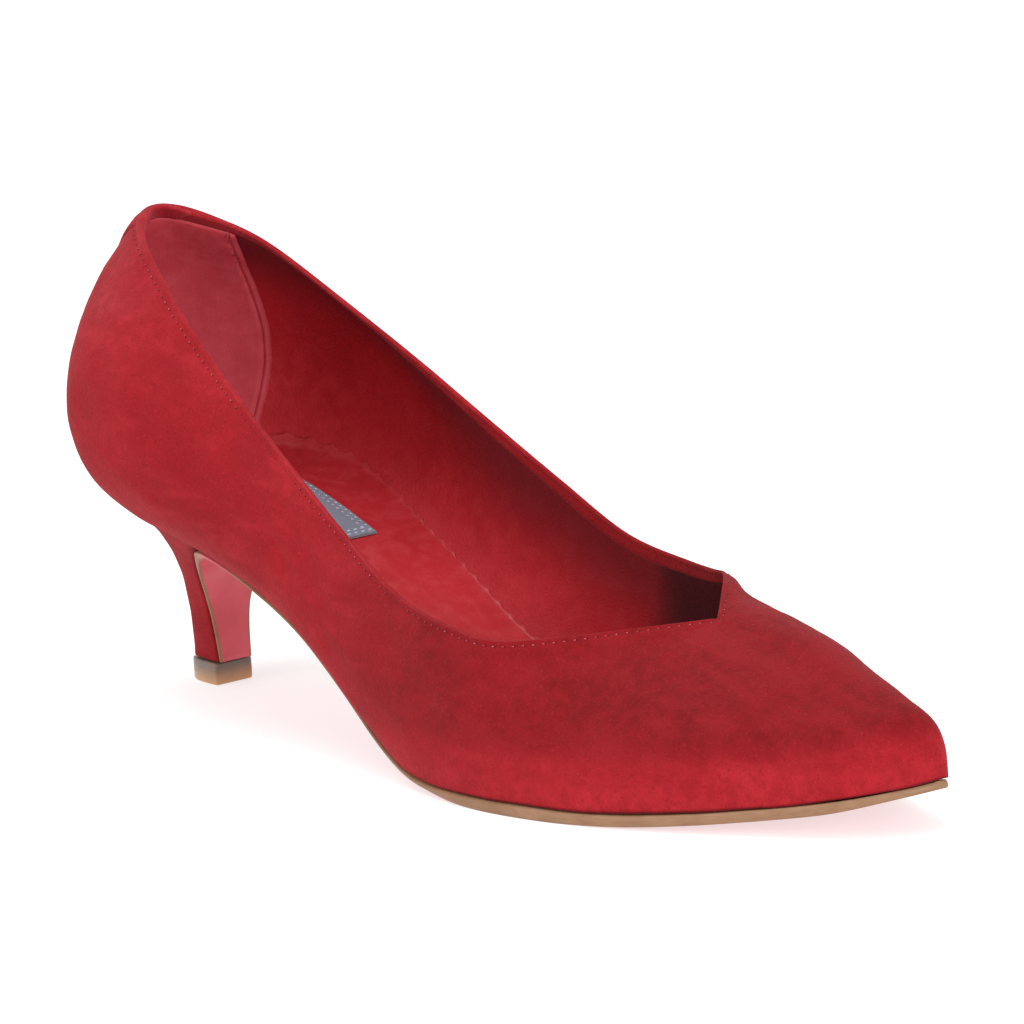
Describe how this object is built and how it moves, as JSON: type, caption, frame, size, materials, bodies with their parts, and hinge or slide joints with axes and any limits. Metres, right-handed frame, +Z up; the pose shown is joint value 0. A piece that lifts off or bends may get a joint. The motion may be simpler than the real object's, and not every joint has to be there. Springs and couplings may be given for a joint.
{
  "type": "kitten heel court shoe",
  "caption": "Right court shoe in suede with a pointed toe, a V-shaped throat, a thin leather outsole and a low slim covered heel.",
  "frame": {"origin": "on the floor under the middle of the shoe's bounding box", "axes": "+X towards the toe, +Y towards the inner side of this right shoe, +Z up from the floor"},
  "size_m": [0.2608, 0.0754, 0.1022],
  "materials": {
    "suede": "matte napped suede",
    "sole_leather": "burnished cut edge",
    "top_piece": "satin translucent",
    "insole_board": "matte",
    "sock_leather": "smooth satin",
    "lining_leather": "smooth matte",
    "label_fabric": "woven matte"
  },
  "bodies": {
    "root": {"upper": "suede", "heel": "suede", "back_tab": "suede", "outsole": "sole_leather", "top_piece": "top_piece", "insole": "insole_board", "sock": "sock_leather", "heel_grip": "lining_leather", "sock_label": "label_fabric"}
  },
  "joints": []
}
